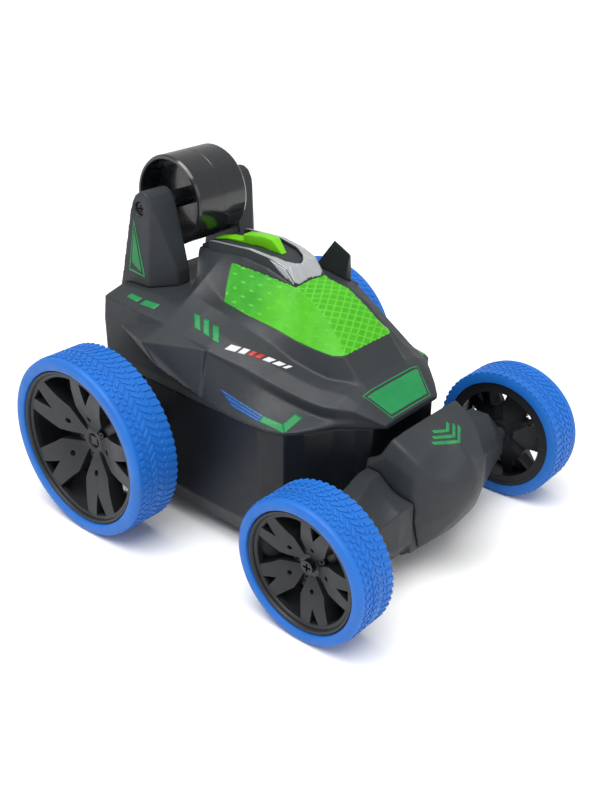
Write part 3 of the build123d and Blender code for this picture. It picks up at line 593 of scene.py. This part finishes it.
def make_tyre(side, axle, pitches):
    node = axle + "_tyre_" + side
    wheel = Wheel(node, axle + "_rim_" + side)
    r, w, bead = wheel.radius, wheel.width, wheel.rim_r
    base = r - 0.40 * MM
    profile = [
        (bead, 1.1 * MM), (bead + 0.15 * MM, 0.35 * MM), (bead + 0.7 * MM, 0.0), (r - 1.9 * MM, 0.0),
        (r - 1.0 * MM, 0.25 * MM), (r - 0.5 * MM, 0.8 * MM), (r - 0.3 * MM, 1.6 * MM),
        (r - 0.35 * MM, 2.0 * MM),
        (base, 2.3 * MM), (base, w - 0.5 * MM), (r - 1.7 * MM, w), (bead, w),
    ]
    bm = bmesh.new()
    lathe(bm, wheel, profile, 160)
    first, span = 2.6 * MM, w - 3.0 * MM
    pitch = 2 * math.pi / pitches
    for start, end, length, slant, phase in TREAD_ROWS:
        for index in range(pitches):
            angle = (index + phase) * pitch
            half = length * pitch / 2
            lean = slant * pitch / 2
            near, far = first + start * span, first + end * span
            corners = []
            for radius, spread in ((base - 0.3 * MM, 1.12), (r, 0.86)):
                corners.append(wheel.at(angle - lean - half * spread, radius, near))
                corners.append(wheel.at(angle - lean + half * spread, radius, near))
                corners.append(wheel.at(angle + lean + half * spread, radius, far))
                corners.append(wheel.at(angle + lean - half * spread, radius, far))
            hull_box(bm, corners)
    piece = piece_from(bm, node + "_rubber", "tyre_blue", frame["nodes"][node]["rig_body"], 40)
    rounded(piece, TREAD_BEVEL, 1, 40)
    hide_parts(node)


def strip(bm, wheel, spoke_angle, stations, flip):
    """One half of a spoke.

    A station gives the distance out, the inner and outer half width, and the top and bottom depth.
    """
    rings = []
    for out, inner, outer, top, bottom in stations:
        ring = []
        for across, depth in ((inner, top), (outer, top + 0.0002), (outer, bottom), (inner, bottom)):
            radius = math.hypot(out, across)
            angle = spoke_angle + flip * math.atan2(across, out)
            ring.append(bm.verts.new(wheel.at(angle, radius, depth)))
        rings.append(ring)
    bm.faces.new(rings[0])
    bm.faces.new(rings[-1])
    for here, there in zip(rings, rings[1:]):
        join_rings(bm, here, there)


# Half outline of a forked spoke, over the rim's radius: distance out, inner and outer half width.
FORK = [
    (0.13, 0.0, 0.035), (0.22, 0.0, 0.095), (0.33, 0.0, 0.170), (0.44, 0.0, 0.235), (0.54, 0.0, 0.240),
    (0.62, 0.0, 0.247), (0.68, 0.022, 0.254), (0.78, 0.060, 0.266), (0.88, 0.098, 0.278),
    (0.955, 0.126, 0.287),
]
# Half outline of the lower bar between two forks.
BAR = [(0.12, 0.0, 0.075), (0.30, 0.0, 0.075), (0.52, 0.0, 0.060), (0.56, 0.0, 0.030), (0.95, 0.0, 0.026)]
FORKS = 5
FORK_TURN_DEG = 360 / FORKS
FORK_DEPTH = 6.5 * MM
BAR_DEPTH = 5.0 * MM
BAR_STEP = 0.53                 # past this share of the rim's radius the bars lie lower
DIMPLE_OUT, DIMPLE_R, DIMPLE_DEPTH = 0.385, 0.038, 1.6 * MM
SHADE_FLANGE_SHARE = 0.82             # inner edge of the rear flange, over the rim's radius: a back lip that also darkens the view through the spokes, as painted shade
DISH_START, DISH_SPAN = 0.13, 0.82
DISH_EDGE_DEPTH = 2.1 * MM      # depth of a fork's tip at the rim


def dish_depth(share, recess):
    """How deep a fork's face lies at a share of the rim's radius."""
    t = min(1.0, max(0.0, (share - DISH_START) / DISH_SPAN))
    return DISH_EDGE_DEPTH + (recess - DISH_EDGE_DEPTH) * (1 - t) ** 1.7


def drill(piece, wheel, holes, floor_depth):
    """Round blind holes: each has an angle, a distance out, a radius and its face's depth."""
    bm = bmesh.new()
    for angle, out, radius, top in holes:
        rings = []
        for depth in (top - 2 * MM, top + floor_depth):
            centre = wheel.at(angle, out, depth)
            rings.append([bm.verts.new(centre + round_step(step) * radius) for step in range(HOLE_SIDES)])
        bm.faces.new(rings[0])
        bm.faces.new(rings[1])
        join_rings(bm, *rings)
    bmesh.ops.recalc_face_normals(bm, faces=bm.faces)
    cut_away(piece, bm, self_crossing=True)


def make_rim(side, axle, recess, hub_r, hole_r, first_fork_deg):
    node = axle + "_rim_" + side
    wheel = Wheel(axle + "_tyre_" + side, node)
    r, w = wheel.rim_r, wheel.width
    body = frame["nodes"][node]["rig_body"]
    bm = bmesh.new()
    lathe(bm, wheel, [
        (r - 1.7 * MM, 1.6 * MM), (r - 1.3 * MM, 1.0 * MM), (r - 0.5 * MM, 0.9 * MM),
        (r - 0.05 * MM, 1.3 * MM),
        (r - 0.05 * MM, w - 0.6 * MM), (r - 1.5 * MM, w - 0.6 * MM), (r - 1.6 * MM, 6 * MM),
    ])
    lathe(bm, wheel, [
        (r - 3.0 * MM, 2.6 * MM), (r - 2.7 * MM, 2.2 * MM), (r - 1.55 * MM, 2.0 * MM),
        (r - 1.55 * MM, 4.6 * MM),
        (r - 3.0 * MM, 4.6 * MM),
    ])
    # Rear flange: a back lip that is also sized to fill the view through the spokes with dark plastic
    # where the inside of the wheel lies in shade, so it is partly painted shade.
    lathe(bm, wheel, [
        (r * SHADE_FLANGE_SHARE, w - 2.0 * MM), (r - 1.5 * MM, w - 2.6 * MM), (r - 1.5 * MM, w - 0.8 * MM),
        (r * SHADE_FLANGE_SHARE, w - 0.8 * MM),
    ])
    lathe(bm, wheel, [
        (hole_r, recess + 0.5 * MM), (hole_r + 0.5 * MM, recess), (hub_r - 0.7 * MM, recess),
        (hub_r, recess + 0.7 * MM), (hub_r, w - 1.6 * MM), (hole_r, w - 1.6 * MM),
    ], 48)
    for index in range(FORKS):
        angle = math.radians(first_fork_deg + FORK_TURN_DEG * index)
        bar_angle = angle + math.radians(FORK_TURN_DEG / 2)
        fork = []
        for out, inner, outer in FORK:
            top = dish_depth(out, recess)
            fork.append((out * r, inner * r, outer * r, top, top + FORK_DEPTH))
        bars = []
        for out, inner, outer in BAR:
            top = recess + (1.2 if out < BAR_STEP else 3.4) * MM
            bars.append((out * r, inner * r, outer * r, top, top + BAR_DEPTH))
        for flip in (-1, 1):
            strip(bm, wheel, angle, fork, flip)
            strip(bm, wheel, bar_angle, bars, flip)
    piece = piece_from(bm, node + "_cast", "rim_black", body, 30)
    dimples = []
    for index in range(FORKS):
        angle = math.radians(first_fork_deg + FORK_TURN_DEG * index)
        dimples.append((angle, DIMPLE_OUT * r, DIMPLE_R * r, dish_depth(DIMPLE_OUT, recess)))
    drill(piece, wheel, dimples, DIMPLE_DEPTH)
    smooth(piece.data, 30)
    rounded(piece, RIM_BEVEL, 2, 35)
    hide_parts(node)

    bm = bmesh.new()
    for index in range(FORKS):
        angle = math.radians(first_fork_deg + FORK_TURN_DEG / 2 + FORK_TURN_DEG * index)
        centre = wheel.at(angle, hub_r + 0.6 * MM, 0)
        boss_profile = [(0.45, 1.0), (0.6, 0.7), (1.15, 0.7), (1.4, 1.0), (1.4, 4.0), (0.45, 4.0)]
        rings = []
        for step in range(HOLE_SIDES):
            ring = []
            for radius, depth in boss_profile:
                offset = round_step(step) * radius * MM
                inwards = Vector((0, -wheel.side * (recess + (depth - 0.6) * MM), 0))
                ring.append(bm.verts.new(centre + offset + inwards))
            rings.append(ring)
        for step in range(HOLE_SIDES):
            join_rings(bm, rings[step], rings[(step + 1) % HOLE_SIDES])
    piece_from(bm, node + "_bosses", "rim_black", body, 30)


# ---- canopy ------------------------------------------------------------------------------

CANOPY_RELIEF = 0.20 * MM
CANOPY_EDGE = 0.5 * MM          # longest edge left in the canopy's outer faces
NET_ACROSS, NET_DOWN = 5.2, 3.3          # pitches of the windscreen's net, in millimetres
NET_LINE = 0.17
DASH_ALONG, DASH_UP = 4.6, 3.1           # pitches of the side windows' dashes, in millimetres
DASH_HALF_LENGTH, DASH_HALF_HEIGHT = 0.34, 0.17
SCREEN_LEAN = 0.45              # sideways share of the normal where the windscreen ends


def ridge(value, half_width):
    """1 on a lattice line, falling to 0 at half_width of the way to the next."""
    away = abs(value - round(value))
    return max(0.0, 1 - away / half_width)


def on_windscreen(normal):
    return abs(normal.y) < SCREEN_LEAN


def relief(point, normal):
    """The canopy's pattern from 0 to 1: a diamond net on the windscreen, short dashes on the sides."""
    x, y, z = point / MM
    if on_windscreen(normal):
        across, down = y / NET_ACROSS, (x * 0.83 - z * 0.56) / NET_DOWN
        return max(ridge(across + down, NET_LINE), ridge(across - down, NET_LINE))
    along, up = x / DASH_ALONG, (z + x * 0.42) / DASH_UP
    row = round(up)
    u = along + 0.5 * (row % 2)
    u -= round(u)
    dash = 1 - abs(u) / DASH_HALF_LENGTH - abs(up - row - 0.5 * u) / DASH_HALF_HEIGHT
    fade = min(1.0, max(0.2, (4 - x) / 14))
    return min(1.0, 1.6 * max(0.0, dash)) * fade


def make_canopy():
    source = frame["nodes"]["canopy"]
    bm = welded(source, 2 * WELD)
    bmesh.ops.triangulate(bm, faces=bm.faces)
    bmesh.ops.recalc_face_normals(bm, faces=bm.faces)
    heart = Vector((0.0, 0.0, 0.06))

    def outside(face):
        spot = face.calc_center_median()
        return face.normal.dot(spot - heart) > 0.35 * (spot - heart).length

    for _ in range(8):
        long = set()
        for face in bm.faces:
            if outside(face):
                long.update(edge for edge in face.edges if edge.calc_length() > CANOPY_EDGE)
        if not long:
            break
        bmesh.ops.subdivide_edges(bm, edges=list(long), cuts=1)
        bmesh.ops.triangulate(bm, faces=[f for f in bm.faces if len(f.verts) > 3])
    bm.normal_update()
    # ridge: how strongly each point takes the painted highlight green in the canopy material
    ridge_highlight_layer = bm.verts.layers.float.new("ridge")
    screen_layer = bm.verts.layers.float.new("windscreen")
    moves = {}
    for vert in bm.verts:
        if all(outside(face) for face in vert.link_faces):
            height = relief(vert.co, vert.normal)
            vert[ridge_highlight_layer] = 0.75 * height
            vert[screen_layer] = 1.0 if on_windscreen(vert.normal) else 0.0
            moves[vert] = vert.normal * height * CANOPY_RELIEF
    for vert, move in moves.items():
        vert.co += move
    piece = piece_from(bm, "canopy_quilted", "canopy_green", ROOT, 24)
    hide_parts("canopy")


# ---- outlines of the prints --------------------------------------------------------------


def both_sides(name, surfaces, outlines, towards, slot_name):
    for side, flip in (("right", 1), ("left", -1)):
        turned = [[(x, flip * y, z) for x, y, z in outline] for outline in outlines]
        aim = (towards[0], flip * towards[1], towards[2])
        print_on(name + "_" + side, surfaces[side], turned, aim, slot_name)


def outline_ring(outer, inner):
    """Quads between two matching closed outlines."""
    count = len(outer)
    return [
        [outer[i], outer[(i + 1) % count], inner[(i + 1) % count], inner[i]] for i in range(count)
    ]


def between(start, end, share):
    return tuple(a + (b - a) * share for a, b in zip(start, end))


def bars_across(rear, front, shares):
    """Strips that run from the rear edge to the front edge, each given by its two shares of the edges."""
    return [
        [between(*rear, low), between(*front, low), between(*front, high), between(*rear, high)]
        for low, high in shares
    ]


# ---- the car -----------------------------------------------------------------------------

place_camera()
studio()

for entry in frame["record"]["subparts"]:
    paint(frame["nodes"][entry["node"]], entry["material_slot"])

for wheel_side in ("right", "left"):
    make_tyre(wheel_side, "rear", 74)
    make_tyre(wheel_side, "front", 58)
    make_rim(wheel_side, "rear", 9.0 * MM, 5.6 * MM, 2.6 * MM, 3.0)
    make_rim(wheel_side, "front", 7.0 * MM, 5.0 * MM, 3.1 * MM, 0.0)

shell = softened("upper_shell", "shell_plastic", 0.42 * MM, 3, 0.35)
tub = softened("lower_tub", "tub_plastic", 0.55 * MM, 3, 0.25)
cleared_for(tub, "power_switch_knob", "power_switch_slide", 0.12 * MM)
pod = softened("nose_pod", "shell_plastic", 0.45 * MM, 45)
softened("nose_plate", "shell_plastic", 0.45 * MM, 2)
softened("front_axle_housing", "shell_plastic", 0.5 * MM, 3, 0.4)
softened("side_fin", "shell_plastic", 0.35 * MM)
trim = bevelled("roof_trim", "shell_plastic", 0.25 * MM)
softened("roof_panel", "shell_plastic", 0.3 * MM)
softened("roof_blade", "lime_plastic", 0.25 * MM)
towers = {
    side: softened("roller_tower_" + side, "shell_plastic", 0.45 * MM, 4) for side in ("right", "left")
}
make_canopy()

for name in ("roller_half_right", "roller_half_left"):
    smooth_cad = frame["nodes"][name].modifiers.new("edges", "BEVEL")
    smooth_cad.width = ROLLER_BEVEL
    smooth_cad.segments = 2
    smooth_cad.limit_method = "ANGLE"
    smooth_cad.angle_limit = math.radians(35)

shell_surface = surface_of(shell)
shells = {"right": shell_surface, "left": shell_surface}
DOWN = (0, 0, -1)
SIDEWAYS = (0, 1, 0)
posts = {side: surface_of(tower) for side, tower in towers.items()}

post_outer = [(-59.3, -27, 108.1), (-62.4, -28.7, 88.0), (-53.3, -28.8, 86.9)]
post_inner = [(-59.25, -27, 106.2), (-61.7, -28.7, 88.7), (-54.3, -28.8, 87.7)]
post_solid = [(-59.3, -27, 104.6), (-60.9, -28.5, 91.3), (-55.3, -28.7, 88.3)]
both_sides("post_outline", posts, outline_ring(post_outer, post_inner), SIDEWAYS, "decal_green")
both_sides("post_triangle", posts, [post_solid], SIDEWAYS, "decal_green")

both_sides("deck_marks", shells, [
    [(-54.8, -37.2, 82), (-54.4, -34.9, 82), (-48.0, -35.2, 82), (-48.4, -37.9, 82)],
    [(-46.3, -38.3, 82), (-46.0, -35.5, 82), (-38.7, -35.1, 82), (-39.2, -37.9, 82)],
], DOWN, "decal_green")

print_on("shoulder_bars", shell_surface, [
    [(-23.0, -33.1, 82), (-20.5, -32.7, 82), (-15.6, -37.4, 82), (-18.5, -37.6, 82)],
    [(-18.4, -33.0, 82), (-16.4, -32.2, 82), (-11.2, -37.5, 82), (-14.1, -37.6, 82)],
    [(-14.1, -32.8, 82), (-11.7, -32.0, 82), (-6.7, -37.3, 82), (-9.3, -37.9, 82)],
], DOWN, "decal_green")

hood = [(41.1, -14.7, 66), (48.6, -10.7, 66), (48.6, 10.7, 66), (41.1, 14.7, 66)]
hood_ring_outer = [(40.0, -16.2, 66), (49.5, -11.5, 66), (49.5, 11.5, 66), (40.0, 16.2, 66)]
hood_ring_inner = [(40.35, -15.8, 66), (49.2, -11.2, 66), (49.2, 11.2, 66), (40.35, 15.8, 66)]
print_on("hood_panel_print", shell_surface, [hood], DOWN, "decal_green")
hood_ring = outline_ring(hood_ring_outer, hood_ring_inner)
print_on("hood_panel_outline", shell_surface, hood_ring, DOWN, "decal_green")

skirt_aim = (0, 0.62, -0.78)
stripe_rear = ((-1.8, -42.4, 62.8), (4.1, -43.2, 58.5))
stripe_front = ((16.7, -40.6, 57.9), (16.6, -42.8, 56.4))
corner_mark = [
    [(16.6, -40.7, 57.9), (16.6, -42.7, 56.5), (27.2, -41.5, 55.2), (24.3, -39.1, 56.7)],
    [(24.3, -39.1, 56.7), (27.2, -41.5, 55.2), (27.7, -33.4, 58.5), (24.8, -33.3, 58.7)],
]
stripes = bars_across(stripe_rear, stripe_front, [(0, 0.27), (0.36, 0.63), (0.72, 1)])
both_sides("skirt_stripes", shells, stripes, skirt_aim, "decal_blue")
both_sides("skirt_corner", shells, corner_mark, skirt_aim, "decal_green")

flash_low = ((-4.0, -37.2, 75), (15.9, -26.5, 70))
flash_high = ((-3.4, -35.0, 77), (16.4, -24.2, 71))
flash_shares = [
    (0.00, 0.17), (0.21, 0.32), (0.36, 0.44), (0.48, 0.56), (0.60, 0.71), (0.75, 0.86), (0.90, 0.96),
]
flash = bars_across(flash_low, flash_high, flash_shares)
flash_aim = (0, 0.5, -0.87)
print_on("flank_flash_white", shell_surface, flash[:2] + flash[4:], flash_aim, "decal_white")
print_on("flank_flash_red", shell_surface, flash[2:4], flash_aim, "decal_red")

chevrons = []
for tip in (67.2, 70.4, 73.2):
    for side in (-1, 1):
        reach = 0.62 * (tip - 60)
        chevrons.append([
            (tip, 0, 56), (tip - 1.7, 0, 56), (tip - 1.7 - reach * 0.7, side * reach, 56),
            (tip - reach * 0.7, side * reach, 56),
        ])
print_on("nose_chevrons", surface_of(pod), chevrons, (-0.45, 0, -0.9), "decal_green")

trim_surface = surface_of(trim)
ring_outer = [(-38, -9.9), (-18, -9.4), (-6, -8.4), (2.0, -7.6), (3.8, -3.9), (4.05, 0)]
ring_inner = [(-38, -9.2), (-22, -8.4), (-10, -6.9), (-4.8, -4.8), (-2.3, -2.2), (-1.4, 0)]
silver_top = []
for side in (-1, 1):
    for index in range(len(ring_outer) - 1):
        corners = (ring_outer[index], ring_outer[index + 1], ring_inner[index + 1], ring_inner[index])
        silver_top.append([(x, -side * y, 100) for x, y in corners])
print_on("roof_silver_top", trim_surface, silver_top, DOWN, "silver_paint", 0.5)
silver_wall = [(-9, -10, 99.6), (-1.6, -10, 97.2), (2.1, -10, 92.7), (2.1, -10, 91.2), (-4, -10, 95.4)]
trims = {"right": trim_surface, "left": trim_surface}
both_sides("roof_silver_wall", trims, [silver_wall], SIDEWAYS, "silver_paint")

# floor
floor_mesh = bpy.data.meshes.new("floor")
floor_mesh.from_pydata([(-3, -3, 0), (3, -3, 0), (3, 3, 0), (-3, 3, 0)], [], [(0, 1, 2, 3)])
floor = bpy.data.objects.new("floor", floor_mesh)
scene.collection.objects.link(floor)
floor_mesh.materials.append(floor_look().material)
